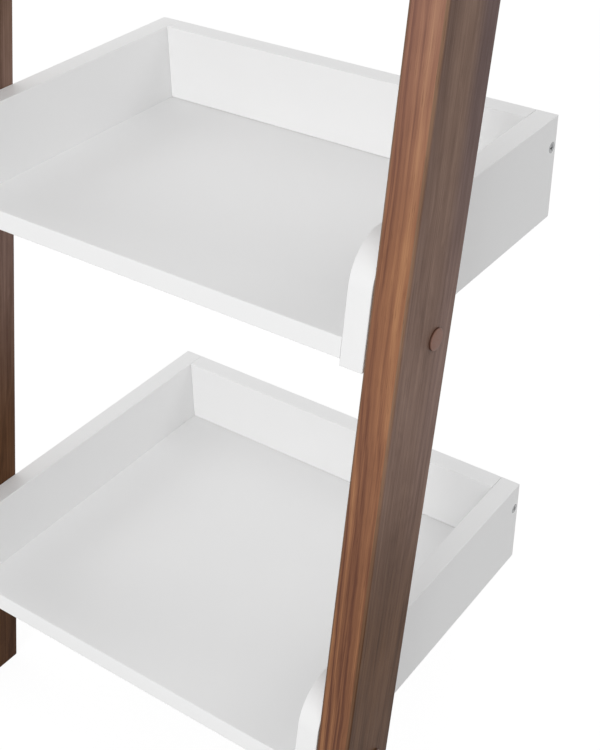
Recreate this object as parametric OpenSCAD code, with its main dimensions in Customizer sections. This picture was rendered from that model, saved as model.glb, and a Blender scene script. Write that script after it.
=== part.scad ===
// Leaning ladder shelf: two wooden rails that rest on the floor and the wall, and white
// three-sided trays bolted between them. X runs across the shelf, +Y towards the wall, Z up.
// The origin lies on the floor, halfway between the wall and the front of the feet.

/* [Rails] */
// Height of the rails' tops above the floor
rail_height = 1650; // [1560:10:1740]
// Lean of the rails from upright, in degrees
lean = 10; // [8.5:0.5:11.5]
// Width of a rail from side to side
rail_width = 26.5; // [22:0.5:32]
// Depth of a rail, square to its front face
rail_depth = 65; // [60:1:80]
// Rounding of the rails' long edges
rail_edge_r = 2.5; // [1:0.5:5]
// Height of the upright cut that lies on the wall
wall_flat = 70; // [60:5:100]

/* [Trays] */
// Number of trays
tray_count = 4; // [3:1:4]
// Width of a tray over its side panels
tray_width = 380; // [320:5:600]
// Height of a tray's side panels
tray_height = 84; // [76:1:110]
// Distance from one tray up to the next
tray_pitch = 350; // [300:5:370]
// Height of the lowest tray's top edge above the floor
first_tray_top = 200; // [140:5:230]
// Thickness of the side panels
side_t = 18; // [16:1:20]
// Thickness of the back panel
back_t = 18; // [16:1:20]
// Thickness of the floor panel
floor_t = 15; // [15:1:18]
// How far the floor's underside lies above the side panels' bottom edge
floor_drop = 5; // [3:0.5:10]
// Rounding of the side panels' top front corner
corner_r = 35; // [15:1:40]

/* [Rail bolts] */
// Thread of the bolts that carry the trays
bolt_d = 6; // [5:1:8]
// Length of a bolt under its head
bolt_len = 70; // [65:5:80]
// Diameter of a bolt's head
bolt_head_d = 10.5; // [10:0.5:11.5]
// Height of a bolt's head
bolt_head_h = 4; // [3:0.5:4.5]
// Size across flats of the hexagon socket in the head
bolt_socket = 4; // [3:1:5]
// Depth of the hexagon socket
bolt_socket_depth = 2.5; // [1.5:0.5:3]
// Distance from a bolt's axis to the rail's rear face, square to it
bolt_from_rear = 22; // [16:1:28]
// Diameter of the hole that sinks the head into the rail
counterbore_d = 13; // [12:0.5:14]
// Depth of that hole
counterbore_depth = 7; // [6.5:0.5:9]
// Diameter of a barrel nut
nut_d = 10; // [9:0.5:12]
// Length of a barrel nut
nut_len = 12; // [10:1:13]
// How far a bolt reaches past its nut
bolt_past_nut = 3; // [1:1:6]
// Width and depth of the screwdriver slot in a nut
nut_slot = 1.4; // [1:0.2:2]

/* [Bolt caps] */
// Diameter of the cap over a bolt's head
cap_d = 16; // [15:0.5:19]
// How far a cap stands out from the rail
cap_h = 1.8; // [1:0.2:3]
// Rounding of a cap's rim
cap_edge_r = 0.7; // [0.3:0.1:0.9]
// Length of the plug that holds a cap in its hole
cap_plug_len = 2; // [1:0.5:2.2]

/* [Dowels] */
// Diameter of every dowel
dowel_d = 8; // [6:1:8]
// Length of the dowels inside the trays
dowel_len = 30; // [25:5:40]
// Length of the dowels between rail and tray
rail_dowel_len = 25; // [22:1:28]
// How far every dowel enters a side panel
dowel_in_side = 11; // [9:1:12]
// Height of the rail's dowel above the bolt
rail_dowel_rise = 45; // [30:1:48]
// Height of the back panel's dowels above the floor panel
back_dowel_rise = 16; // [10:1:18]

/* [Back screws] */
// Shank of the screws into the back panel
back_screw_d = 4.5; // [4:0.5:5]
// Length of such a screw
back_screw_len = 45; // [40:5:60]
// Diameter of its countersunk head
back_screw_head_d = 9; // [8.5:0.5:10.5]
// Height of the head's cone
back_screw_head_h = 2.5; // [2.5:0.25:4]
// Distance from its axis to the rear of the tray
back_screw_inset = 6.5; // [6:0.5:9]
// Distance from its axis down from the tray's top edge
back_screw_drop = 24; // [18:1:26]
// Length of each arm of its cross recess
screw_recess = 5.4; // [4:0.2:6]
// Width of those arms
screw_recess_w = 1.1; // [0.8:0.1:1.4]
// Depth of the recess
screw_recess_depth = 1.8; // [1:0.1:2.2]

/* [Cams] */
// Diameter of a cam
cam_d = 15; // [14:0.5:16]
// Height of a cam
cam_h = 12; // [11:0.5:13]
// Distance from the floor panel's end to the cam's axis
cam_reach = 34; // [30:1:40]
// Distance from the wall to the cam's axis
cam_from_wall = 40; // [34:1:44]
// Thread of a cam bolt in the side panel
cam_thread_d = 6.3; // [5:0.1:7]
// Length of that thread
cam_thread_len = 11; // [9:0.5:13]
// Shank of a cam bolt
cam_shank_d = 5.4; // [4.6:0.2:6]
// Diameter of a cam bolt's head and collar
cam_head_d = 7; // [6.6:0.1:7.4]
// Length of the head
cam_head_len = 3; // [2:0.5:4]
// Neck behind the head
cam_neck_d = 4; // [3:0.2:4.4]
// Length of the neck
cam_neck_len = 3; // [2:0.5:4]
// Bore for the cam bolt in the end of the floor panel
cam_bore_d = 8; // [7.8:0.1:9]

/* [Wall brackets] */
// Length of each leg of a bracket
bracket_leg = 30; // [26:1:40]
// Width of a bracket
bracket_w = 16; // [14:1:20]
// Thickness of its steel
bracket_t = 2; // [1.5:0.5:3]
// Inner bend radius of a bracket
bracket_bend_r = 2; // [1:0.5:3]
// Hole in each leg
bracket_hole_d = 5; // [4.5:0.5:6]
// Distance from the bracket's corner to the holes
bracket_hole_in = 18; // [15:1:20]
// Shank of the screw that holds a bracket on its rail
bracket_screw_d = 4; // [3.5:0.5:4.5]
// Length of that screw under its head
bracket_screw_len = 16; // [14:1:20]
// Diameter of its head
bracket_screw_head_d = 8; // [7:0.5:9]
// Height of its head
bracket_screw_head_h = 2.5; // [2:0.5:3]

/* [Clearances] */
// Space round a bolt's shank, on each side
bolt_clear = 0.25; // [0.1:0.05:0.5]
// Space round a dowel, plug, nut, cam or thread in its hole, on each side
fit_clear = 0.05; // [0.02:0.01:0.1]
// Space past the end of a dowel, bolt or screw in a blind hole
end_clear = 0.5; // [0.2:0.1:1]

/* [Hidden] */
$fn = 48;
TRAYS = [1:tray_count];

walnut = "#7a5238";
white = "#eef0f1";
zinc = "#b9bdc1";
beech = "#d9bd8f";
cap_brown = "#8a5a41";

// A rail leaves the floor at the front of the foot and meets the wall under its upright cut
rail_run = rail_depth / cos(lean);
foot_to_wall = rail_run + (rail_height - wall_flat) * tan(lean);
wall_y = foot_to_wall / 2;
inner_x = tray_width / 2 - side_t;
side_x = tray_width / 2;
outer_x = side_x + rail_width;

bolt_seat_x = outer_x - counterbore_depth;
bolt_tip_x = bolt_seat_x - bolt_len;
nut_x = bolt_tip_x + bolt_past_nut + nut_d / 2;
cam_x = inner_x - cam_reach;
cam_y = wall_y - cam_from_wall;
back_dowel_y = wall_y - back_t / 2;
back_screw_y = wall_y - back_screw_inset;
bracket_z = rail_height - wall_flat / 2;
bracket_hole_x = side_x - bracket_hole_in;

// Front face of the rails, and of the trays, at height z
function front_y(z) = z * tan(lean) - wall_y;
// Bottom edge of a tray's side panels, and the heights that follow from it
function tray_z(t) = first_tray_top - tray_height + (t - 1) * tray_pitch;
function floor_under_z(t) = tray_z(t) + floor_drop;
function floor_mid_z(t) = floor_under_z(t) + floor_t / 2;
function floor_top_z(t) = floor_under_z(t) + floor_t;
function tray_top_z(t) = tray_z(t) + tray_height;
// Places of the fasteners of one tray
function bolt_y(t) = front_y(floor_mid_z(t)) + (rail_depth - bolt_from_rear) / cos(lean);
function rail_dowel_z(t) = floor_mid_z(t) + rail_dowel_rise;
function rail_dowel_y(t) = front_y(rail_dowel_z(t)) + rail_run / 2;
function floor_dowel_y(t) = (bolt_y(t) + cam_y) / 2;
function back_dowel_z(t) = floor_top_z(t) + back_dowel_rise;
function back_screw_z(t) = tray_top_z(t) - back_screw_drop;

// A child drawn for the right-hand side, and its mirror image on the left
module both_sides() {
    children();
    mirror([1, 0, 0]) children();
}

// A round bar or bore that starts at a point and runs along +X
module bar_x(x, y, z, d, len) {
    translate([x, y, z]) rotate([0, 90, 0]) cylinder(d = d, h = len);
}

module rounded_rect(w, d, r) {
    translate([r, 0]) square([w - 2 * r, d]);
    translate([0, r]) square([w, d - 2 * r]);
    for (x = [r, w - r], y = [r, d - r]) translate([x, y]) circle(r);
}

// ---- Rails ----

// A leaning bar, cut level at the foot and the top and upright where it lies on the wall
module rail_blank() {
    intersection() {
        translate([side_x, -wall_y, 0])
            rotate([-lean, 0, 0])
                translate([0, 0, -rail_depth])
                    linear_extrude(rail_height / cos(lean) + 2 * rail_depth)
                        rounded_rect(rail_width, rail_depth, rail_edge_r);
        translate([0, -foot_to_wall, 0])
            cube([2 * side_x, foot_to_wall + wall_y, rail_height]);
    }
}

module rail() {
    dowel_depth = rail_dowel_len - dowel_in_side + end_clear;
    difference() {
        rail_blank();
        for (t = TRAYS) {
            bar_x(side_x - 1, bolt_y(t), floor_mid_z(t), bolt_d + 2 * bolt_clear, rail_width + 2);
            bar_x(bolt_seat_x, bolt_y(t), floor_mid_z(t), counterbore_d, counterbore_depth + 1);
            bar_x(side_x - 1, rail_dowel_y(t), rail_dowel_z(t), dowel_d + 2 * fit_clear, dowel_depth + 1);
        }
        bar_x(side_x - 1, wall_y - bracket_hole_in, bracket_z, bracket_screw_d + 2 * fit_clear,
            bracket_screw_len - bracket_t + end_clear + 1);
    }
}

module right_rail() color(walnut) rail();
module left_rail() color(walnut) mirror([1, 0, 0]) rail();

// ---- Tray panels ----

// Side panel seen from the right: upright at the back, leaning with the rail at the front
module side_outline(t) {
    arc_z = tray_top_z(t) - corner_r;
    arc_y = front_y(arc_z) + corner_r / cos(lean);
    polygon([
        [front_y(tray_z(t)), tray_z(t)],
        [wall_y, tray_z(t)],
        [wall_y, tray_top_z(t)],
        [arc_y, tray_top_z(t)],
        [arc_y - corner_r * cos(lean), arc_z + corner_r * sin(lean)]
    ]);
    translate([arc_y, arc_z]) circle(corner_r);
}

module side(t) {
    difference() {
        translate([inner_x, 0, 0]) rotate([90, 0, 90]) linear_extrude(side_t) side_outline(t);
        bar_x(inner_x - 1, bolt_y(t), floor_mid_z(t), bolt_d + 2 * bolt_clear, side_t + 2);
        bar_x(side_x - dowel_in_side - end_clear, rail_dowel_y(t), rail_dowel_z(t),
            dowel_d + 2 * fit_clear, dowel_in_side + end_clear + 1);
        for (at = [[floor_dowel_y(t), floor_mid_z(t)], [back_dowel_y, back_dowel_z(t)]])
            bar_x(inner_x - 1, at[0], at[1], dowel_d + 2 * fit_clear, dowel_in_side + end_clear + 1);
        bar_x(inner_x - 1, cam_y, floor_mid_z(t), cam_thread_d + 2 * fit_clear,
            cam_thread_len + end_clear + 1);
        bar_x(inner_x - 1, back_screw_y, back_screw_z(t), back_screw_d + 2 * fit_clear, side_t + 2);
        translate([side_x, back_screw_y, back_screw_z(t)]) rotate([0, -90, 0]) screw_cone(fit_clear);
    }
}

// Floor panel between the sides, its front edge leaning with the rails
module tray_floor(t) {
    under = floor_under_z(t);
    mid = floor_mid_z(t);
    color(white) difference() {
        translate([-inner_x, 0, 0]) rotate([90, 0, 90]) linear_extrude(2 * inner_x)
            polygon([
                [front_y(under), under],
                [wall_y, under],
                [wall_y, floor_top_z(t)],
                [front_y(floor_top_z(t)), floor_top_z(t)]
            ]);
        both_sides() {
            bar_x(bolt_tip_x - end_clear, bolt_y(t), mid, bolt_d + 2 * bolt_clear,
                inner_x - bolt_tip_x + end_clear + 1);
            translate([nut_x, bolt_y(t), under - 1])
                cylinder(d = nut_d + 2 * fit_clear, h = floor_t / 2 + nut_len / 2 + 1);
            bar_x(inner_x - (dowel_len - dowel_in_side) - end_clear, floor_dowel_y(t), mid,
                dowel_d + 2 * fit_clear, dowel_len - dowel_in_side + end_clear + 1);
            bar_x(cam_x, cam_y, mid, cam_bore_d, cam_reach + 1);
            translate([cam_x, cam_y, under - 1])
                cylinder(d = cam_d + 2 * fit_clear, h = cam_h + end_clear + 1);
        }
    }
}

// Back panel standing on the floor panel between the sides
module tray_back(t) {
    screw_depth = back_screw_len - side_t + end_clear;
    color(white) difference() {
        translate([-inner_x, wall_y - back_t, floor_top_z(t)])
            cube([2 * inner_x, back_t, tray_top_z(t) - floor_top_z(t)]);
        both_sides() {
            bar_x(inner_x - screw_depth, back_screw_y, back_screw_z(t),
                back_screw_d + 2 * fit_clear, screw_depth + 1);
            bar_x(inner_x - (dowel_len - dowel_in_side) - end_clear, back_dowel_y, back_dowel_z(t),
                dowel_d + 2 * fit_clear, dowel_len - dowel_in_side + end_clear + 1);
        }
    }
}

module tray_right_side(t) color(white) side(t);
module tray_left_side(t) color(white) mirror([1, 0, 0]) side(t);

// ---- Bolts, nuts and caps that carry the trays ----

module rail_bolts() {
    socket_d = bolt_socket / cos(30);
    color(zinc) both_sides() for (t = TRAYS) difference() {
        union() {
            bar_x(bolt_tip_x, bolt_y(t), floor_mid_z(t), bolt_d, bolt_len);
            bar_x(bolt_seat_x, bolt_y(t), floor_mid_z(t), bolt_head_d, bolt_head_h);
        }
        translate([bolt_seat_x + bolt_head_h - bolt_socket_depth, bolt_y(t), floor_mid_z(t)])
            rotate([0, 90, 0]) cylinder(d = socket_d, h = bolt_socket_depth + 1, $fn = 6);
    }
}

module barrel_nuts() {
    color(zinc) both_sides() for (t = TRAYS)
        translate([nut_x, bolt_y(t), floor_mid_z(t)]) difference() {
            cylinder(d = nut_d, h = nut_len, center = true);
            rotate([0, 90, 0]) cylinder(d = bolt_d + 2 * fit_clear, h = nut_d + 2, center = true);
            translate([0, 0, -nut_len / 2])
                cube([nut_d + 2, nut_slot, 2 * nut_slot], center = true);
        }
}

// Round cap with a softened rim, and the plug that grips the counterbore
module bolt_caps() {
    color(cap_brown) both_sides() for (t = TRAYS)
        translate([outer_x, bolt_y(t), floor_mid_z(t)]) rotate([0, 90, 0]) {
            cylinder(d = cap_d, h = cap_h - cap_edge_r);
            cylinder(d = cap_d - 2 * cap_edge_r, h = cap_h);
            translate([0, 0, cap_h - cap_edge_r])
                rotate_extrude() translate([cap_d / 2 - cap_edge_r, 0]) circle(cap_edge_r);
            translate([0, 0, -cap_plug_len])
                cylinder(d = counterbore_d - 2 * fit_clear, h = cap_plug_len + cap_h / 2);
        }
}

// ---- Dowels ----

module rail_dowels() {
    color(beech) both_sides() for (t = TRAYS)
        bar_x(side_x - dowel_in_side, rail_dowel_y(t), rail_dowel_z(t), dowel_d, rail_dowel_len);
}

module floor_dowels() {
    color(beech) both_sides() for (t = TRAYS)
        bar_x(inner_x + dowel_in_side - dowel_len, floor_dowel_y(t), floor_mid_z(t), dowel_d, dowel_len);
}

module back_dowels() {
    color(beech) both_sides() for (t = TRAYS)
        bar_x(inner_x + dowel_in_side - dowel_len, back_dowel_y, back_dowel_z(t), dowel_d, dowel_len);
}

// ---- Screws into the back panels ----

// Cone of a countersunk head, widest at the origin and narrowing along +Z
module screw_cone(clear) {
    translate([0, 0, -1]) cylinder(d = back_screw_head_d + 2 * clear, h = 1);
    cylinder(d1 = back_screw_head_d + 2 * clear, d2 = back_screw_d + 2 * clear, h = back_screw_head_h);
}

module back_screws() {
    color(zinc) both_sides() for (t = TRAYS)
        translate([side_x, back_screw_y, back_screw_z(t)]) rotate([0, -90, 0]) difference() {
            union() {
                cylinder(d1 = back_screw_head_d, d2 = back_screw_d, h = back_screw_head_h);
                cylinder(d = back_screw_d, h = back_screw_len);
            }
            for (turn = [0, 90]) rotate([0, 0, turn])
                cube([screw_recess, screw_recess_w, 2 * screw_recess_depth], center = true);
        }
}

// ---- Cams and cam bolts under the rear of the floor panels ----

module cams() {
    pocket_d = cam_head_d + 2 * bolt_clear;
    color(zinc) both_sides() for (t = TRAYS)
        difference() {
            translate([cam_x, cam_y, floor_under_z(t)]) cylinder(d = cam_d, h = cam_h);
            bar_x(cam_x - cam_head_d / 2, cam_y, floor_mid_z(t), pocket_d, cam_d);
            translate([cam_x, cam_y, floor_under_z(t)]) for (turn = [45, 135]) rotate([0, 0, turn])
                cube([screw_recess, screw_recess_w, 2 * screw_recess_depth], center = true);
        }
}

module cam_bolts() {
    shank_len = cam_reach - cam_head_len / 2 - cam_neck_len;
    color(zinc) both_sides() for (t = TRAYS) {
        bar_x(inner_x, cam_y, floor_mid_z(t), cam_thread_d, cam_thread_len);
        bar_x(inner_x - shank_len, cam_y, floor_mid_z(t), cam_shank_d, shank_len + 1);
        bar_x(cam_x, cam_y, floor_mid_z(t), cam_neck_d, cam_reach / 2);
        bar_x(cam_x - cam_head_len / 2, cam_y, floor_mid_z(t), cam_head_d, cam_head_len);
    }
}

// ---- Brackets that hold the rails to the wall ----

// Bent strip, with one leg on the rail's inner face and the other on the wall
module bracket_outline() {
    bend_out = bracket_bend_r + bracket_t;
    translate([-bracket_t, -bracket_leg]) square([bracket_t, bracket_leg - bend_out]);
    translate([-bracket_leg, -bracket_t]) square([bracket_leg - bend_out, bracket_t]);
    translate([-bend_out, -bend_out]) intersection() {
        difference() {
            circle(bend_out);
            circle(bracket_bend_r);
        }
        square(bend_out);
    }
}

module wall_brackets() {
    color(zinc) both_sides() difference() {
        translate([side_x, wall_y, bracket_z - bracket_w / 2])
            linear_extrude(bracket_w) bracket_outline();
        bar_x(side_x - bracket_t - 1, wall_y - bracket_hole_in, bracket_z,
            bracket_hole_d, bracket_t + 2);
        translate([bracket_hole_x, wall_y + 1, bracket_z]) rotate([90, 0, 0])
            cylinder(d = bracket_hole_d, h = bracket_t + 2);
    }
}

module bracket_screws() {
    head_x = side_x - bracket_t - bracket_screw_head_h;
    color(zinc) both_sides() difference() {
        union() {
            bar_x(head_x, wall_y - bracket_hole_in, bracket_z, bracket_screw_head_d, bracket_screw_head_h);
            bar_x(head_x, wall_y - bracket_hole_in, bracket_z, bracket_screw_d,
                bracket_screw_head_h + bracket_screw_len);
        }
        translate([head_x, wall_y - bracket_hole_in, bracket_z]) rotate([0, 90, 0])
            for (turn = [0, 90]) rotate([0, 0, turn])
                cube([screw_recess, screw_recess_w, 2 * screw_recess_depth], center = true);
    }
}

left_rail();
right_rail();
for (t = TRAYS) {
    tray_floor(t);
    tray_back(t);
    tray_left_side(t);
    tray_right_side(t);
}
rail_bolts();
bolt_caps();
barrel_nuts();
rail_dowels();
floor_dowels();
back_dowels();
back_screws();
cams();
cam_bolts();
wall_brackets();
bracket_screws();
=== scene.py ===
import math

import bmesh
import bpy
from mathutils import Matrix, Vector


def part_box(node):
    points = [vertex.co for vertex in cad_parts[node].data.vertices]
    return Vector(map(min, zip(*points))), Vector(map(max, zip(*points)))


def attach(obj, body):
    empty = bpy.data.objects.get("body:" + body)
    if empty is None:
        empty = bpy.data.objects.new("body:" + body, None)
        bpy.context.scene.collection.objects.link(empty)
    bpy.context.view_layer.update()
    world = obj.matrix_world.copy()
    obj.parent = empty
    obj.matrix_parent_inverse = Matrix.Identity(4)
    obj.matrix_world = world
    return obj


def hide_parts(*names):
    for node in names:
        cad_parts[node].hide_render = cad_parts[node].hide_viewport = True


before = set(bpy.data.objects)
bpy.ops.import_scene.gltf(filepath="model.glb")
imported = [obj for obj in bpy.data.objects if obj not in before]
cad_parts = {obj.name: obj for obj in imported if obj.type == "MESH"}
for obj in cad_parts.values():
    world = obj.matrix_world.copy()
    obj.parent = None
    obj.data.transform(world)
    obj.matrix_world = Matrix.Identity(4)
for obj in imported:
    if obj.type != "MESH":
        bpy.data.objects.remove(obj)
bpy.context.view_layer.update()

# ---- Tray panels ----
# Floors, backs and sides of white faced chipboard, cut and bored to size. The edges that stay in
# sight are eased, which leaves fine grooves where two panels meet. The back is a hair short at both
# its ends and at its foot.

FLAT_ANGLE = math.radians(1)
SMOOTH_ANGLE = math.radians(35)
ARRIS_ANGLE = math.radians(30)
WELD = 1e-6
PANEL_EASE = 0.0007
FOOT_GAP = 0.00035
END_GAP = 0.0004
IN_FRONT = 1e-5
ALONG_AXIS = 0.9


def find_socket(sockets, name):
    """The socket of a shader node that has this identifier."""
    return next(socket for socket in sockets if socket.identifier == name)


def add_node(tree, kind, inputs=None, **settings):
    """A new shader node, with its settings, and its inputs given as values or as other outputs."""
    node = tree.nodes.new(kind)
    for setting, value in settings.items():
        setattr(node, setting, value)
    for name, value in (inputs or {}).items():
        socket = find_socket(node.inputs, name)
        if isinstance(value, bpy.types.NodeSocket):
            tree.links.new(value, socket)
        else:
            socket.default_value = value
    return node


def new_material(name, metallic=0.0, gloss=0.5):
    """An empty node material, its shader and its tree."""
    material = bpy.data.materials.new(name)
    material.use_nodes = True
    tree = material.node_tree
    tree.nodes.clear()
    shader = add_node(tree, "ShaderNodeBsdfPrincipled", {
        "Metallic": metallic, "Specular IOR Level": gloss})
    add_node(tree, "ShaderNodeOutputMaterial", {"Surface": shader.outputs["BSDF"]})
    return material, shader, tree


def finish_surface(tree, shader, colour, roughness, relief, strength, distance):
    """Gives a shader its colour, its roughness and the fine relief of its surface."""
    bump = add_node(tree, "ShaderNodeBump", {
        "Height": relief, "Strength": strength, "Distance": distance})
    tree.links.new(colour, find_socket(shader.inputs, "Base Color"))
    tree.links.new(roughness, find_socket(shader.inputs, "Roughness"))
    tree.links.new(bump.outputs["Normal"], find_socket(shader.inputs, "Normal"))


def vary(tree, place, stretch, detail=2.0, roughness=0.5):
    """Noise stretched by so many cycles a metre along each axis, as a factor from 0 to 1."""
    scaled = add_node(tree, "ShaderNodeVectorMath", {"Vector": place, "Vector_001": stretch},
                      operation="MULTIPLY")
    noise = add_node(tree, "ShaderNodeTexNoise", {
        "Vector": scaled.outputs["Vector"], "Scale": 1.0, "Detail": detail, "Roughness": roughness})
    return noise.outputs["Fac"]


def remap(tree, value, low, high, to_low=0.0, to_high=1.0, smooth=True):
    """A value's range from low to high, spread over another range and held at its ends."""
    node = add_node(tree, "ShaderNodeMapRange", {
        "Value": value, "From Min": low, "From Max": high, "To Min": to_low, "To Max": to_high},
        interpolation_type="SMOOTHSTEP" if smooth else "LINEAR")
    return node.outputs["Result"]


def mix_colours(tree, factor, first, second, blend="MIX"):
    """The colour between two others."""
    node = add_node(tree, "ShaderNodeMix", {
        "Factor_Float": factor, "A_Color": first, "B_Color": second},
        data_type="RGBA", blend_type=blend)
    return find_socket(node.outputs, "Result_Color")


def bench_copy(node):
    """A CAD node's shape with its loose triangles merged and its flat faces whole."""
    shape = bmesh.new()
    shape.from_mesh(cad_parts[node].data)
    bmesh.ops.remove_doubles(shape, verts=shape.verts, dist=WELD)
    bmesh.ops.dissolve_limit(shape, angle_limit=FLAT_ANGLE, verts=shape.verts, edges=shape.edges)
    return shape


def round_over(shape, edges, radius, segments=3):
    """Rounds the given edges of a shape."""
    bmesh.ops.bevel(shape, geom=edges, offset=radius, offset_type="OFFSET", segments=segments,
                    profile=0.5, affect="EDGES", material=-1, clamp_overlap=True)


def add_piece(name, shape, material, slot, *nodes):
    """Turns a finished shape into a piece of the shelf that stands for the CAD nodes given."""
    mesh = bpy.data.meshes.new(name)
    shape.to_mesh(mesh)
    shape.free()
    if "custom_normal" in mesh.attributes:
        mesh.attributes.remove(mesh.attributes["custom_normal"])
    mesh.materials.clear()
    mesh.materials.append(material)
    mesh.shade_smooth()
    mesh.set_sharp_from_angle(angle=SMOOTH_ANGLE)
    piece = bpy.data.objects.new(name, mesh)
    bpy.context.scene.collection.objects.link(piece)
    shading = piece.modifiers.new("even_shading", "WEIGHTED_NORMAL")
    shading.keep_sharp = True
    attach(piece, "root")
    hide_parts(*nodes)


def is_arris(edge, corners):
    """Whether an edge is an outer one: nothing of the panel stands in front of its two faces."""
    if len(edge.link_faces) != 2 or edge.calc_face_angle() < ARRIS_ANGLE:
        return False
    return all(
        (corner - edge.verts[0].co).dot(face.normal) < IN_FRONT
        for face in edge.link_faces for corner in corners)


def runs_across(edge):
    """Whether an edge runs from one side of the shelf to the other."""
    first, second = (vert.co for vert in edge.verts)
    return abs((second - first).normalized().x) > ALONG_AXIS


def white_board():
    """A white facing with a low sheen and faint, even pebbling."""
    material, shader, tree = new_material("white_board")
    place = add_node(tree, "ShaderNodeTexCoord").outputs["Object"]
    cloud = vary(tree, place, (9, 9, 9))
    pebble = vary(tree, place, (420, 420, 420))
    colour = mix_colours(tree, cloud, (0.848, 0.850, 0.852, 1), (0.878, 0.878, 0.877, 1))
    sheen = remap(tree, pebble, 0.3, 0.7, 0.40, 0.48)
    finish_surface(tree, shader, colour, sheen, pebble, 0.12, 0.0001)
    return material


board_facing = white_board()
for node in sorted(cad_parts):
    if not node.startswith("tray_"):
        continue
    panel = bench_copy(node)
    corners = [vert.co.copy() for vert in panel.verts]
    foot_z = min(corner.z for corner in corners)
    arrises = [edge for edge in panel.edges if is_arris(edge, corners)]
    if node.endswith("_floor"):
        arrises = [edge for edge in arrises if runs_across(edge)]
    if node.endswith("_back"):
        arrises = [edge for edge in arrises
                   if max(vert.co.z for vert in edge.verts) > foot_z + WELD]
    round_over(panel, arrises, PANEL_EASE)
    if node.endswith("_back"):
        feet = [vert for vert in panel.verts if vert.co.z < foot_z + WELD]
        bmesh.ops.translate(panel, vec=(0, 0, FOOT_GAP), verts=feet)
        for side in (-1, 1):
            end_x = max(side * corner.x for corner in corners)
            end = [vert for vert in panel.verts if side * vert.co.x > end_x - WELD]
            bmesh.ops.translate(panel, vec=(-side * END_GAP, 0, 0), verts=end)
    add_piece(node + "_panel", panel, board_facing, "white_board", node)

# ---- Dowels ----
# Beech dowels, cut from rod that is fluted so that glue and air can get out of the hole, with
# their ends chamfered. Two hold each end of a floor and a back, and one locks each tray to a rail.

FLUTES = 20
FLUTE_SINK = 0.94
DOWEL_CHAMFER = 0.0009


def outer_ends(node):
    """The middle of the outer end, left or right, of each separate solid of a CAD node, and the
    length and the thickness of these solids, which are all alike."""
    shape = bench_copy(node)
    seen = set()
    ends = []
    for start in shape.verts:
        if start in seen:
            continue
        seen.add(start)
        solid = [start]
        for vert in solid:
            for edge in vert.link_edges:
                neighbour = edge.other_vert(vert)
                if neighbour not in seen:
                    seen.add(neighbour)
                    solid.append(neighbour)
        low = Vector(min(vert.co[axis] for vert in solid) for axis in range(3))
        high = Vector(max(vert.co[axis] for vert in solid) for axis in range(3))
        middle = (low + high) / 2
        ends.append(Vector((high.x if middle.x > 0 else low.x, middle.y, middle.z)))
    shape.free()
    return ends, high.x - low.x, high.z - low.z


def copy_out(shape, places):
    """Copies a shape that lies along X, with its outer end at the origin, to each place, turned
    half round on the left-hand side."""
    pattern = bpy.data.meshes.new("pattern")
    shape.to_mesh(pattern)
    shape.free()
    group = bmesh.new()
    for place in places:
        before = len(group.verts)
        group.from_mesh(pattern)
        copied = group.verts[before:]
        if place.x < 0:
            bmesh.ops.rotate(group, verts=copied, matrix=Matrix.Rotation(math.pi, 3, "Z"))
        bmesh.ops.translate(group, verts=copied, vec=place)
    bpy.data.meshes.remove(pattern)
    return group


def fluted_dowel(length, radius):
    """A dowel from the origin along -X."""
    shape = bmesh.new()
    rim = bmesh.ops.create_circle(shape, cap_ends=True, segments=2 * FLUTES, radius=radius)["verts"]
    bmesh.ops.scale(shape, verts=rim[::2], vec=(FLUTE_SINK, FLUTE_SINK, 1))
    drawn = bmesh.ops.extrude_face_region(shape, geom=shape.faces[:])["geom"]
    far_rim = [part for part in drawn if isinstance(part, bmesh.types.BMVert)]
    bmesh.ops.translate(shape, verts=far_rim, vec=(0, 0, -length))
    ends = [face for face in shape.faces if len(face.verts) > 4]
    end_edges = {edge for face in ends for edge in face.edges}
    round_over(shape, list(end_edges), DOWEL_CHAMFER, segments=1)
    bmesh.ops.rotate(shape, verts=shape.verts, matrix=Matrix.Rotation(math.pi / 2, 3, "Y"))
    bmesh.ops.recalc_face_normals(shape, faces=shape.faces)
    return shape


def beech():
    """Bare steamed beech, pinkish tan with short darker flecks along the grain."""
    material, shader, tree = new_material("beech")
    place = add_node(tree, "ShaderNodeTexCoord").outputs["Object"]
    grain = vary(tree, place, (30, 700, 700), detail=3.0)
    flecks = remap(tree, vary(tree, place, (260, 1500, 1500)), 0.60, 0.70)
    colour = mix_colours(tree, grain, (0.50, 0.33, 0.19, 1), (0.68, 0.50, 0.32, 1))
    colour = mix_colours(tree, flecks, colour, (0.34, 0.19, 0.10, 1))
    sheen = remap(tree, grain, 0.2, 0.8, 0.55, 0.68)
    finish_surface(tree, shader, colour, sheen, grain, 0.3, 0.0002)
    return material


beech_wood = beech()
for node in ("floor_dowels", "back_dowels", "rail_dowels"):
    places, length, thickness = outer_ends(node)
    dowels = copy_out(fluted_dowel(length, thickness / 2), places)
    add_piece("fluted_" + node, dowels, beech_wood, "beech", node)

# ---- Cams and cam bolts ----
# Die-cast zinc cams in the underside of each floor panel, near its rear corners. They turn on the
# heads of steel bolts that are driven into the side panels, and draw the panels together.

ZINC_EDGE = 0.0003
CAM_THREAD = 0.011
CAM_THREAD_ROOT = 0.0023
CAM_THREAD_CREST = 0.00315
CAM_THREAD_PITCH = 0.0022
CAM_SHANK = 0.0027
CAM_COLLAR = 0.0035
CAM_NECK = 0.0020
CAM_HEAD = 0.0035
HEAD_LENGTH = 0.0030
NECK_LENGTH = 0.0030
COLLAR_LENGTH = 0.0010


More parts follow.
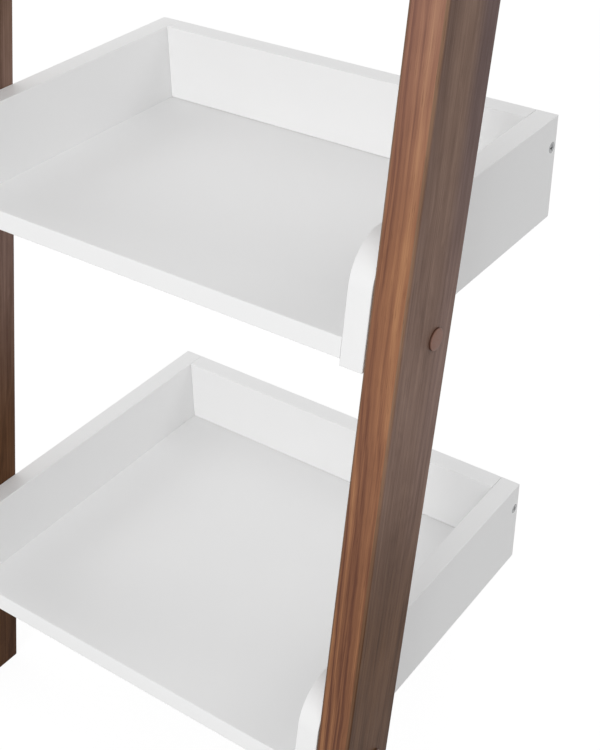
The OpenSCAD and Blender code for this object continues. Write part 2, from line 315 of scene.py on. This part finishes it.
def turn_on_lathe(profile, segments=32):
    """A round shape about the X axis, from its outline as pairs of place along X and radius."""
    shape = bmesh.new()
    corners = [shape.verts.new((place, radius, 0)) for place, radius in profile]
    lines = [shape.edges.new(pair) for pair in zip(corners, corners[1:])]
    bmesh.ops.spin(shape, geom=corners + lines, cent=(0, 0, 0), axis=(1, 0, 0),
                   angle=2 * math.pi, steps=segments, use_merge=True)
    bmesh.ops.remove_doubles(shape, verts=shape.verts, dist=WELD)
    bmesh.ops.recalc_face_normals(shape, faces=shape.faces)
    return shape


def add_thread(shape, start, end, root, crest, pitch, segments=20):
    """Adds a right-hand thread about the X axis, from start down to end, closed at both ends."""
    thread = bmesh.new()
    half_turns = 2 * math.ceil((start - end) / pitch) + 6
    corners = [thread.verts.new((start + pitch - step * pitch / 2, (root, crest)[step % 2], 0))
               for step in range(half_turns)]
    lines = [thread.edges.new(pair) for pair in zip(corners, corners[1:])]
    bmesh.ops.spin(thread, geom=corners + lines, cent=(0, 0, 0), axis=(1, 0, 0),
                   dvec=(pitch / segments, 0, 0), angle=2 * math.pi, steps=segments)
    bmesh.ops.remove_doubles(thread, verts=thread.verts, dist=WELD)
    for place, outward in ((start, 1), (end, -1)):
        bmesh.ops.bisect_plane(
            thread, geom=thread.verts[:] + thread.edges[:] + thread.faces[:], dist=WELD,
            plane_co=(place, 0, 0), plane_no=(outward, 0, 0), clear_outer=True)
    rims = [edge for edge in thread.edges if edge.is_boundary]
    bmesh.ops.holes_fill(thread, edges=rims, sides=0)
    bmesh.ops.recalc_face_normals(thread, faces=thread.faces)
    cut = bpy.data.meshes.new("thread")
    thread.to_mesh(cut)
    thread.free()
    shape.from_mesh(cut)
    bpy.data.meshes.remove(cut)


def sharp_edges(shape):
    """The edges where two faces of a shape meet at a clear angle."""
    return [edge for edge in shape.edges
            if len(edge.link_faces) == 2 and edge.calc_face_angle() > ARRIS_ANGLE]


def zinc(name, tone, streak):
    """Zinc-plated steel, a cool grey with faint clouding, brushed along one axis."""
    material, shader, tree = new_material(name, metallic=1.0)
    place = add_node(tree, "ShaderNodeTexCoord").outputs["Object"]
    cloud = vary(tree, place, (160, 160, 160))
    scratches = vary(tree, place, streak)
    dull = tuple(channel * 0.82 for channel in tone)
    colour = mix_colours(tree, cloud, (*dull, 1), (*tone, 1))
    sheen = remap(tree, scratches, 0.3, 0.7, 0.30, 0.44)
    finish_surface(tree, shader, colour, sheen, scratches, 0.2, 0.00005)
    return material


cast_zinc = zinc("cast_zinc", (0.56, 0.57, 0.58), (500, 500, 500))
plated_steel = zinc("plated_steel", (0.38, 0.385, 0.39), (120, 2600, 2600))

cam_shapes = bench_copy("cams")
round_over(cam_shapes, sharp_edges(cam_shapes), ZINC_EDGE, segments=2)
add_piece("cam_locks", cam_shapes, cast_zinc, "zinc_steel", "cams")

places, length, _ = outer_ends("cam_bolts")
neck_start = HEAD_LENGTH + NECK_LENGTH - length
cam_bolt = turn_on_lathe([
    (-CAM_THREAD + ZINC_EDGE, 0),
    (-CAM_THREAD + ZINC_EDGE, CAM_COLLAR - ZINC_EDGE),
    (-CAM_THREAD, CAM_COLLAR),
    (-CAM_THREAD - COLLAR_LENGTH, CAM_COLLAR),
    (-CAM_THREAD - COLLAR_LENGTH, CAM_SHANK),
    (neck_start + ZINC_EDGE, CAM_SHANK),
    (neck_start, CAM_NECK),
    (HEAD_LENGTH - length, CAM_NECK),
    (HEAD_LENGTH - length, CAM_HEAD - ZINC_EDGE),
    (HEAD_LENGTH - length - ZINC_EDGE, CAM_HEAD),
    (ZINC_EDGE * 2 - length, CAM_HEAD),
    (-length, CAM_HEAD - ZINC_EDGE * 2),
    (-length, 0)])
add_thread(cam_bolt, 0, -CAM_THREAD, CAM_THREAD_ROOT, CAM_THREAD_CREST, CAM_THREAD_PITCH)
add_piece("cam_dowel_bolts", copy_out(cam_bolt, places), plated_steel, "zinc_steel", "cam_bolts")

# ---- Back screws ----
# Countersunk steel screws with a cross recess, driven through each side panel into the end of the
# back panel. Their heads stay bare and lie flush with the panel.

SCREW_LAND = 0.0004
SCREW_CONE = 0.0025
SCREW_SHANK = 0.0022
SCREW_PLAIN = 0.018
SCREW_ROOT = 0.0015
SCREW_PITCH = 0.0020
SCREW_POINT = 0.0040
RECESS_REACH = 0.0027
RECESS_WIDTH = 0.0012
RECESS_DEPTH = 0.0018
RECESS_TAPER = 0.45
SQUARE_ON = 0.99


def top_faces(shape):
    """The faces of a shape that look along +X and lie at the origin, where its outer end is."""
    return [face for face in shape.faces
            if face.normal.x > SQUARE_ON and abs(face.calc_center_median().x) < WELD]


def cut_cross_recess(shape):
    """Cuts a tapering cross into the flat top of a shape."""
    bmesh.ops.dissolve_faces(shape, faces=top_faces(shape), use_verts=True)
    for axis in ((0, 1, 0), (0, 0, 1)):
        for distance in (-RECESS_REACH, -RECESS_WIDTH / 2, RECESS_WIDTH / 2, RECESS_REACH):
            flat = top_faces(shape)
            flat_edges = {edge for face in flat for edge in face.edges}
            flat_verts = {vert for face in flat for vert in face.verts}
            bmesh.ops.bisect_plane(shape, geom=[*flat, *flat_edges, *flat_verts], dist=WELD,
                                   plane_co=Vector(axis) * distance, plane_no=axis)
    arms = []
    for face in top_faces(shape):
        middle = face.calc_center_median()
        nearer, farther = sorted((abs(middle.y), abs(middle.z)))
        if nearer < RECESS_WIDTH / 2 and farther < RECESS_REACH:
            arms.append(face)
    sunk = bmesh.ops.extrude_face_region(shape, geom=arms)["geom"]
    bmesh.ops.delete(shape, geom=arms, context="FACES")
    sunk_verts = [part for part in sunk if isinstance(part, bmesh.types.BMVert)]
    bmesh.ops.translate(shape, verts=sunk_verts, vec=(-RECESS_DEPTH, 0, 0))
    bmesh.ops.scale(shape, verts=sunk_verts, vec=(1, RECESS_TAPER, RECESS_TAPER))


places, length, thickness = outer_ends("back_screws")
back_screw = turn_on_lathe([
    (0, 0),
    (0, thickness / 2 - ZINC_EDGE),
    (-ZINC_EDGE / 2, thickness / 2),
    (-SCREW_LAND, thickness / 2),
    (-SCREW_CONE, SCREW_SHANK),
    (-SCREW_PLAIN, SCREW_SHANK),
    (-SCREW_PLAIN - ZINC_EDGE, SCREW_ROOT),
    (SCREW_POINT - length, SCREW_ROOT),
    (-length, 0)])
cut_cross_recess(back_screw)
add_thread(back_screw, -SCREW_PLAIN, SCREW_POINT - length, SCREW_ROOT, SCREW_SHANK, SCREW_PITCH)
add_piece("countersunk_screws", copy_out(back_screw, places), plated_steel, "zinc_steel",
          "back_screws")

# ---- Rails ----
# Two bars of dark stained solid wood that lean against the wall, planed to size, rounded along
# their edges and finished with a satin lacquer. The foot and the top are sawn level and eased by
# hand, so they stay crisper than the long edges.

RAIL_END_EASE = 0.0008
GRAIN_SLOPE = 0.0225
FRAY = 0.005
LINE_WEIGHT = 0.90
DEPTH_WANDER = 0.020
PORE_DEPTH = 0.40
FOOT_HEIGHTS = (0.22, 0.44)
FRONT_COOL_HEIGHTS = (0.50, 0.72)
WIDE_COOL_HEIGHTS = (0.43, 0.65)

rail_low, rail_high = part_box("right_rail")
rail_inner_x = rail_low.x
wall_y = rail_high.y
rail_height = rail_high.z
tray_1_low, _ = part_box("tray_1_floor")
tray_2_low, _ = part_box("tray_2_floor")
lean = math.atan2(tray_2_low.y - tray_1_low.y, tray_2_low.z - tray_1_low.z)


def calculate(tree, operation, first, second=0.0, third=0.0, clamp=False):
    """A Math node's result."""
    node = add_node(tree, "ShaderNodeMath", {
        "Value": first, "Value_001": second, "Value_002": third},
        operation=operation, use_clamp=clamp)
    return node.outputs["Value"]


def rings(tree, radius, scale, detail=1.0):
    """Noise that changes only with the distance from the heart of the tree."""
    noise = add_node(tree, "ShaderNodeTexNoise", {
        "W": radius, "Scale": scale, "Detail": detail, "Roughness": 0.55}, noise_dimensions="1D")
    return noise.outputs["Fac"]


def tint(tree, tone, dark, middle, light):
    """A colour that runs from dark through middle to light as the tone goes from 0 to 1."""
    ramp = add_node(tree, "ShaderNodeValToRGB", {"Fac": tone})
    ramp.color_ramp.elements.new(0.5)
    stops = zip(ramp.color_ramp.elements, (0.0, 0.5, 1.0), (dark, middle, light))
    for stop, place, colour in stops:
        stop.position = place
        stop.color = (*colour, 1)
    return ramp.outputs["Color"]


def walnut(name, side, grain_start, heart, streaks, rear_hue):
    """Lacquered wood, stained walnut brown. Its figure is solid, growth rings round a heart that
    lies beside the bar, so the lines run along the rail, over its edges and show end grain at the
    cuts. Each streak is a darker band of rings: its radius, its half width and its depth of tone."""
    material, shader, tree = new_material(name, gloss=0.05)
    object_place = add_node(tree, "ShaderNodeTexCoord")
    # Across the rail from its inner face, back from its front face, and up along it
    along_rail = add_node(tree, "ShaderNodeMapping", {
        "Vector": object_place.outputs["Object"],
        "Scale": (side, 1, 1),
        "Rotation": (lean, 0, 0),
        "Location": (-rail_inner_x, wall_y * math.cos(lean), 0)}).outputs["Vector"]
    grain_place = add_node(tree, "ShaderNodeVectorMath", {
        "Vector": along_rail, "Vector_001": (0, 0, grain_start)}, operation="ADD").outputs["Vector"]
    parts = add_node(tree, "ShaderNodeSeparateXYZ", {"Vector": along_rail})
    depth = parts.outputs["Y"]
    height = parts.outputs["Z"]

    # Distance from the heart, which drifts and ripples along the bar
    heart_offset = add_node(tree, "ShaderNodeCombineXYZ", {
        "X": calculate(tree, "SUBTRACT", parts.outputs["X"], heart[0]),
        "Y": calculate(tree, "SUBTRACT", depth, heart[1])}).outputs["Vector"]
    radius = add_node(tree, "ShaderNodeVectorMath", {
        "Vector": heart_offset}, operation="LENGTH").outputs["Value"]
    radius = calculate(tree, "MULTIPLY_ADD", height, -GRAIN_SLOPE, radius)
    drift = vary(tree, grain_place, (12, 12, 3.2), detail=1.0)
    ripple = vary(tree, grain_place, (75, 75, 15), detail=3.0)
    for wander, reach in ((drift, 0.010), (ripple, 0.0028)):
        wander = remap(tree, wander, 0, 1, -reach, reach, smooth=False)
        radius = calculate(tree, "ADD", radius, wander)

    # Tone of the wood, from wide bands down to single fibres
    fibres = vary(tree, grain_place, (900, 900, 11), detail=3.0)
    mottle = vary(tree, grain_place, (80, 80, 24))
    layers = (
        (rings(tree, radius, 130), 0.72),
        (rings(tree, radius, 350), 0.46),
        (rings(tree, radius, 1500), 0.25),
        (fibres, 0.75),
        (mottle, 0.50))
    tone = 0.5 - sum(weight for _, weight in layers) / 2
    for layer, weight in layers:
        tone = calculate(tree, "MULTIPLY_ADD", layer, weight, tone)
    fray_from = calculate(tree, "SUBTRACT", radius, FRAY / 2)
    frayed = calculate(tree, "MULTIPLY_ADD", fibres, FRAY, fray_from)
    for centre, half_width, weight in streaks:
        distance = calculate(tree, "ABSOLUTE", calculate(tree, "SUBTRACT", frayed, centre))
        streak = calculate(tree, "MULTIPLY", remap(tree, distance, 0, half_width, weight, 0),
                           remap(tree, mottle, 0.3, 0.7, 0.6, 1.2))
        tone = calculate(tree, "SUBTRACT", tone, streak)
    lines = vary(tree, grain_place, (300, 300, 8), detail=2.0)
    unlined = calculate(tree, "SUBTRACT", tone, LINE_WEIGHT / 2)
    lined_tone = calculate(tree, "MULTIPLY_ADD", lines, LINE_WEIGHT, unlined)
    contrast = remap(tree, height, *FOOT_HEIGHTS, 1.5, 1.0)
    tone, lined_tone = (
        calculate(tree, "MULTIPLY_ADD", calculate(tree, "SUBTRACT", value, 0.5), contrast, 0.5)
        for value in (tone, lined_tone))

    front_colour = tint(
        tree, tone, (0.152, 0.065, 0.043), (0.302, 0.138, 0.075), (0.455, 0.228, 0.114))
    # The wide faces are darker and greyer than the front: partly the wood's own tone across the
    # grain, partly painted shade, and the grey is a painted sheen of the lacquer
    wide_colour = tint(
        tree, lined_tone, (0.155, 0.091, 0.069), (0.240, 0.149, 0.116), (0.334, 0.218, 0.171))
    # Painted highlight: the rounded edges take a paler, greyer colour where the lacquer catches the
    # light
    arris_highlight_colour = tint(
        tree, tone, (0.180, 0.100, 0.062), (0.235, 0.140, 0.092), (0.290, 0.180, 0.122))
    end_colour = tint(
        tree, tone, (0.050, 0.023, 0.014), (0.085, 0.040, 0.025), (0.120, 0.058, 0.036))

    # Painted shade: the tone darkens and warms towards the foot, in place of the light that falls
    # off towards the floor, and cools slowly from there up. The wide faces have a pale band along
    # the middle, and end in another hue at the rear
    painted_foot_shade = remap(tree, height, *FOOT_HEIGHTS)
    front_cool = remap(tree, height, *FRONT_COOL_HEIGHTS)
    wide_cool = remap(tree, height, *WIDE_COOL_HEIGHTS)
    shallower = calculate(tree, "SUBTRACT", depth, DEPTH_WANDER / 2)
    soft_depth = calculate(tree, "MULTIPLY_ADD", drift, DEPTH_WANDER, shallower)
    rear = remap(tree, soft_depth, 0.032, 0.050)
    band = remap(tree, soft_depth, 0.002, 0.022)
    # Painted shade towards the foot on the front face; higher up the front turns cooler
    front_tint = mix_colours(tree, painted_foot_shade, (0.80, 0.78, 0.74, 1), (1, 1, 1, 1))
    front_tint = mix_colours(tree, front_cool, front_tint, (1.06, 1.17, 1.48, 1))
    lower_tint = mix_colours(tree, rear, (0.93, 0.93, 0.92, 1), (0.98, 1.00, 1.05, 1))
    upper_tint = mix_colours(tree, band, (0.70, 0.69, 0.68, 1), (0.92, 0.92, 0.87, 1))
    upper_tint = mix_colours(tree, rear, upper_tint, (*rear_hue, 1))
    wide_tint = mix_colours(tree, wide_cool, lower_tint, upper_tint)
    # Painted shade towards the foot on the wide faces
    foot_shade_tint = mix_colours(tree, painted_foot_shade, (0.45, 0.32, 0.18, 1), (1, 1, 1, 1))
    wide_tint = mix_colours(tree, 1.0, wide_tint, foot_shade_tint, "MULTIPLY")
    front_colour = mix_colours(tree, 1.0, front_colour, front_tint, "MULTIPLY")
    # Painted shade: the rear arris is darker and cooler, where it turns away from the light
    arris_shade_tint = mix_colours(tree, rear, (1.02, 1.00, 0.97, 1), (0.72, 0.84, 1.05, 1))
    # Painted shade towards the foot on the rounded edges
    foot_shade_arris_tint = mix_colours(tree, painted_foot_shade, (0.66, 0.59, 0.52, 1), (1, 1, 1, 1))
    arris_shade_tint = mix_colours(tree, 1.0, arris_shade_tint, foot_shade_arris_tint, "MULTIPLY")
    arris_highlight_colour = mix_colours(tree, 1.0, arris_highlight_colour, arris_shade_tint, "MULTIPLY")
    wide_colour = mix_colours(tree, 1.0, wide_colour, wide_tint, "MULTIPLY")

    # The rounded edges are painted paler and greyer, a painted highlight of the lacquer, and their
    # rear is painted darker as shade; the cut ends drink in the most stain
    facing = add_node(tree, "ShaderNodeSeparateXYZ", {"Vector": object_place.outputs["Normal"]})
    sideways = calculate(tree, "ABSOLUTE", facing.outputs["X"])
    arris_highlight_mask = remap(tree, sideways, 0.02, 0.30)
    on_wide_face = remap(tree, sideways, 0.70, 0.99)
    on_cut_end = remap(tree, calculate(tree, "ABSOLUTE", facing.outputs["Z"]), 0.7, 0.95)
    colour = mix_colours(tree, arris_highlight_mask, front_colour, arris_highlight_colour)
    colour = mix_colours(tree, on_wide_face, colour, wide_colour)
    colour = mix_colours(tree, on_cut_end, colour, end_colour)

    # Pores as short dark dashes
    pores = remap(tree, vary(tree, grain_place, (2300, 2300, 60), detail=1.0), 0.62, 0.74)
    pore_depth = calculate(tree, "MULTIPLY", pores, PORE_DEPTH)
    colour = mix_colours(tree, pore_depth, colour, (0.045, 0.020, 0.012, 1))

    sheen = remap(tree, tone, 0.0, 1.0, 0.42, 0.36, smooth=False)
    relief = calculate(tree, "MULTIPLY_ADD", pores, -0.6, fibres)
    finish_surface(tree, shader, colour, sheen, relief, 0.22, 0.0002)
    return material


right_streaks = ((0.0727, 0.0070, 0.32), (0.0815, 0.0018, 0.38))
left_streaks = ((0.0800, 0.0050, 0.35), (0.0660, 0.0020, 0.25))
for rail, side, grain_start, heart, streaks, rear_hue in (
        ("right_rail", 1, 0.0, (0.0865, 0.030), right_streaks, (0.61, 0.63, 0.74)),
        ("left_rail", -1, 7.3, (0.0900, 0.022), left_streaks, (0.80, 0.77, 0.71))):
    timber = bench_copy(rail)
    end_edges = [edge for edge in timber.edges
                 if any(all(abs(vert.co.z - end) < WELD for vert in edge.verts)
                        for end in (0.0, rail_height))
                 and any(abs(face.normal.z) < ALONG_AXIS for face in edge.link_faces)]
    round_over(timber, end_edges, RAIL_END_EASE)
    wood = walnut(rail + "_walnut", side, grain_start, heart, streaks, rear_hue)
    add_piece(rail + "_timber", timber, wood, "walnut", rail)

# ---- Rail bolts and barrel nuts ----
# A socket-head bolt goes through each rail and side panel into the floor panel, where it pulls on
# a barrel nut that is let in from below and slotted, so that a screwdriver can turn it in line.

BOLT_RADIUS = 0.0030
BOLT_ROOT = 0.00245
BOLT_PITCH = 0.0010
BOLT_THREAD = 0.024
BOLT_HEAD_HEIGHT = 0.0040
SOCKET_FLATS = 0.0040
SOCKET_DEPTH = 0.0025

places, length, thickness = outer_ends("rail_bolts")
rail_bolt = turn_on_lathe([
    (0, 0),
    (0, thickness / 2 - ZINC_EDGE),
    (-ZINC_EDGE, thickness / 2),
    (-BOLT_HEAD_HEIGHT, thickness / 2),
    (-BOLT_HEAD_HEIGHT, BOLT_RADIUS),
    (BOLT_THREAD - length, BOLT_RADIUS),
    (BOLT_THREAD - length - ZINC_EDGE, BOLT_ROOT),
    (-length, BOLT_ROOT),
    (-length, 0)])
bmesh.ops.dissolve_faces(rail_bolt, faces=top_faces(rail_bolt), use_verts=True)
head_top = top_faces(rail_bolt)
head_rim = list(head_top[0].edges)
bmesh.ops.delete(rail_bolt, geom=head_top, context="FACES_ONLY")
hexagon = bmesh.ops.create_circle(
    rail_bolt, segments=6, radius=SOCKET_FLATS / 2 / math.cos(math.pi / 6),
    matrix=Matrix.Rotation(math.pi / 2, 4, "Y"))["verts"]
hexagon_edges = list({edge for vert in hexagon for edge in vert.link_edges})
bmesh.ops.bridge_loops(rail_bolt, edges=head_rim + hexagon_edges)
socket = bmesh.ops.extrude_edge_only(rail_bolt, edges=hexagon_edges)["geom"]
socket_verts = [part for part in socket if isinstance(part, bmesh.types.BMVert)]
bmesh.ops.translate(rail_bolt, verts=socket_verts, vec=(-SOCKET_DEPTH, 0, 0))
bmesh.ops.contextual_create(rail_bolt, geom=socket_verts)
bmesh.ops.recalc_face_normals(rail_bolt, faces=rail_bolt.faces)
add_thread(rail_bolt, BOLT_THREAD - length, -length, BOLT_ROOT, BOLT_RADIUS, BOLT_PITCH)
add_piece("socket_head_bolts", copy_out(rail_bolt, places), plated_steel, "zinc_steel",
          "rail_bolts")

nut_shapes = bench_copy("barrel_nuts")
round_over(nut_shapes, sharp_edges(nut_shapes), ZINC_EDGE, segments=2)
add_piece("cross_dowel_nuts", nut_shapes, cast_zinc, "zinc_steel", "barrel_nuts")

# ---- Bolt caps ----
# Brown moulded caps, slightly domed, that hide the bolt heads. A plug behind each one grips the
# bolt's counterbore, and the rim stands a little proud of the rail.

CAP_HEIGHT = 0.0018
CAP_DOME = 0.0003
CAP_RIM = 0.0007
CAP_PLUG = 0.0064
CAP_RINGS = 6


def brown_plastic():
    """Moulded plastic in the brown of the wood, with a fine eggshell texture and a darker rim."""
    material, shader, tree = new_material("brown_plastic", gloss=0.2)
    object_place = add_node(tree, "ShaderNodeTexCoord")
    place = object_place.outputs["Object"]
    cloud = vary(tree, place, (240, 240, 240))
    eggshell = vary(tree, place, (2600, 2600, 2600), detail=1.0)
    colour = mix_colours(tree, cloud, (0.215, 0.108, 0.078, 1), (0.255, 0.132, 0.096, 1))
    facing = add_node(tree, "ShaderNodeSeparateXYZ", {"Vector": object_place.outputs["Normal"]})
    on_face = remap(tree, calculate(tree, "ABSOLUTE", facing.outputs["X"]), 0.3, 0.9)
    colour = mix_colours(tree, on_face, (0.075, 0.030, 0.018, 1), colour)
    sheen = remap(tree, cloud, 0.3, 0.7, 0.42, 0.50)
    finish_surface(tree, shader, colour, sheen, eggshell, 0.2, 0.0001)
    return material


places, length, thickness = outer_ends("bolt_caps")
cap_radius = thickness / 2
cap = turn_on_lathe(
    [(-CAP_DOME * (step / CAP_RINGS) ** 2, cap_radius * step / CAP_RINGS)
     for step in range(CAP_RINGS + 1)]
    + [(-CAP_HEIGHT, cap_radius), (-CAP_HEIGHT, CAP_PLUG), (-length, CAP_PLUG), (-length, 0)],
    segments=48)
rim = [edge for edge in cap.edges
       if all(abs(vert.co.x + CAP_DOME) < WELD for vert in edge.verts)]
round_over(cap, rim, CAP_RIM, segments=4)
add_piece("screw_cover_caps", copy_out(cap, places), brown_plastic(), "brown_plastic", "bolt_caps")

# ---- Wall brackets ----
# Pressed steel angles that tie the rails' tops to the wall. One leg is screwed to the rail's
# inner face with a pan-head screw, and the hole in the other takes a screw into the wall.

BRACKET_EDGE = 0.0003
PAN_HEIGHT = 0.0025
PAN_DOME = 0.0004
BRACKET_SCREW_SHANK = 0.0020
BRACKET_SCREW_ROOT = 0.0014
BRACKET_SCREW_PLAIN = 0.0030

bracket_shapes = bench_copy("wall_brackets")
round_over(bracket_shapes, sharp_edges(bracket_shapes), BRACKET_EDGE, segments=2)
add_piece("angle_brackets", bracket_shapes, plated_steel, "zinc_steel", "wall_brackets")

places, length, thickness = outer_ends("bracket_screws")
pan_screw = turn_on_lathe([
    (0, 0),
    (0, thickness / 2 - 3 * PAN_DOME),
    (-PAN_DOME, thickness / 2 - PAN_DOME),
    (-2 * PAN_DOME, thickness / 2),
    (-PAN_HEIGHT, thickness / 2),
    (-PAN_HEIGHT, BRACKET_SCREW_SHANK),
    (-PAN_HEIGHT - BRACKET_SCREW_PLAIN, BRACKET_SCREW_SHANK),
    (-PAN_HEIGHT - BRACKET_SCREW_PLAIN - ZINC_EDGE, BRACKET_SCREW_ROOT),
    (SCREW_POINT - length, BRACKET_SCREW_ROOT),
    (-length, 0)])
cut_cross_recess(pan_screw)
add_thread(pan_screw, -PAN_HEIGHT - BRACKET_SCREW_PLAIN, SCREW_POINT - length,
           BRACKET_SCREW_ROOT, BRACKET_SCREW_SHANK, SCREW_PITCH)
# The head faces inwards, so the point is the outer end
bmesh.ops.rotate(pan_screw, verts=pan_screw.verts, matrix=Matrix.Rotation(math.pi, 3, "Z"))
bmesh.ops.translate(pan_screw, verts=pan_screw.verts, vec=(-length, 0, 0))
add_piece("pan_head_screws", copy_out(pan_screw, places), plated_steel, "zinc_steel",
          "bracket_screws")

# ---- Floor and backdrop ----
# A plain pale studio floor that runs out of sight and glows evenly, so that only the shelf's own
# soft shadow marks it.

FLOOR_RADIUS = 14.0
FLOOR_GLOW = 0.88
FLOOR_WHITE = 1.055
FLOOR_PAPER = 0.98
FLOOR_BOUNCE = 0.50

ground = bmesh.new()
bmesh.ops.create_circle(ground, cap_ends=True, segments=64, radius=FLOOR_RADIUS)
ground_mesh = bpy.data.meshes.new("studio_floor")
ground.to_mesh(ground_mesh)
ground.free()
studio_floor = bpy.data.objects.new("studio_floor", ground_mesh)
bpy.context.scene.collection.objects.link(studio_floor)


def seen_directly(tree):
    """1 for what the camera sees, straight or in a gloss or through glass, and 0 for its light."""
    ray = add_node(tree, "ShaderNodeLightPath")
    seen = calculate(tree, "MAXIMUM", ray.outputs["Is Camera Ray"], ray.outputs["Is Glossy Ray"])
    return calculate(tree, "MAXIMUM", seen, ray.outputs["Is Transmission Ray"])


floor_material = bpy.data.materials.new("studio_floor")
floor_material.use_nodes = True
tree = floor_material.node_tree
tree.nodes.clear()
seen = seen_directly(tree)
shade = remap(tree, seen, 0, 1, FLOOR_BOUNCE, FLOOR_PAPER, smooth=False)
paper_colour = add_node(tree, "ShaderNodeCombineColor", {
    "Red": shade, "Green": shade, "Blue": shade})
paper = add_node(tree, "ShaderNodeBsdfDiffuse", {"Color": paper_colour.outputs["Color"]})
glow = add_node(tree, "ShaderNodeEmission", {"Color": (1, 1, 1, 1), "Strength": FLOOR_WHITE})
surface = add_node(tree, "ShaderNodeMixShader", {
    "Fac": calculate(tree, "MULTIPLY", seen, FLOOR_GLOW),
    "Shader": paper.outputs["BSDF"], "Shader_001": glow.outputs["Emission"]})
add_node(tree, "ShaderNodeOutputMaterial", {"Surface": surface.outputs["Shader"]})
ground_mesh.materials.append(floor_material)

# ---- Light ----
# An even white room, a large soft key lamp in front and two weaker lamps at the sides and rear.

AMBIENT = 0.616
LAMP_TARGET = (0, 0, 0.6)

world = bpy.data.worlds.new("studio")
bpy.context.scene.world = world
world.use_nodes = True
tree = world.node_tree
tree.nodes.clear()
room = remap(tree, seen_directly(tree), 0, 1, AMBIENT, 1.0, smooth=False)
sky = add_node(tree, "ShaderNodeBackground", {"Color": (1, 1, 1, 1), "Strength": room})
add_node(tree, "ShaderNodeOutputWorld", {"Surface": sky.outputs["Background"]})

for name, place, size, power in (
        ("key_lamp", (0.6, -3.0, 1.5), 1.4, 45.0),
        ("left_lamp", (-2.42, 0.43, 2.32), 1.5, 12.7),
        ("rear_lamp", (1.74, 1.74, 2.32), 1.5, 12.0)):
    lamp = bpy.data.lights.new(name, "AREA")
    lamp.shape = "SQUARE"
    lamp.size = size
    lamp.energy = power
    holder = bpy.data.objects.new(name, lamp)
    holder.location = place
    aim = Vector(LAMP_TARGET) - Vector(place)
    holder.rotation_euler = aim.to_track_quat("-Z", "Y").to_euler()
    holder.visible_camera = False
    bpy.context.scene.collection.objects.link(holder)

# ---- Camera ----
# Close in front of the two lowest trays, above them and to the right, looking down to the left.

CAMERA_LENS = 63.73
CAMERA_SENSOR = 36.0
CAMERA_PLACE = (0.5690, -0.6810, 0.9481)
CAMERA_TURN_DEGREES = (55.503, 0.677, 35.446)

camera_data = bpy.data.cameras.new("camera")
camera_data.lens = CAMERA_LENS
camera_data.sensor_width = CAMERA_SENSOR
camera = bpy.data.objects.new("camera", camera_data)
camera.location = CAMERA_PLACE
camera.rotation_euler = [math.radians(turn) for turn in CAMERA_TURN_DEGREES]
bpy.context.scene.collection.objects.link(camera)
bpy.context.scene.camera = camera
bpy.context.scene.view_settings.view_transform = "Standard"
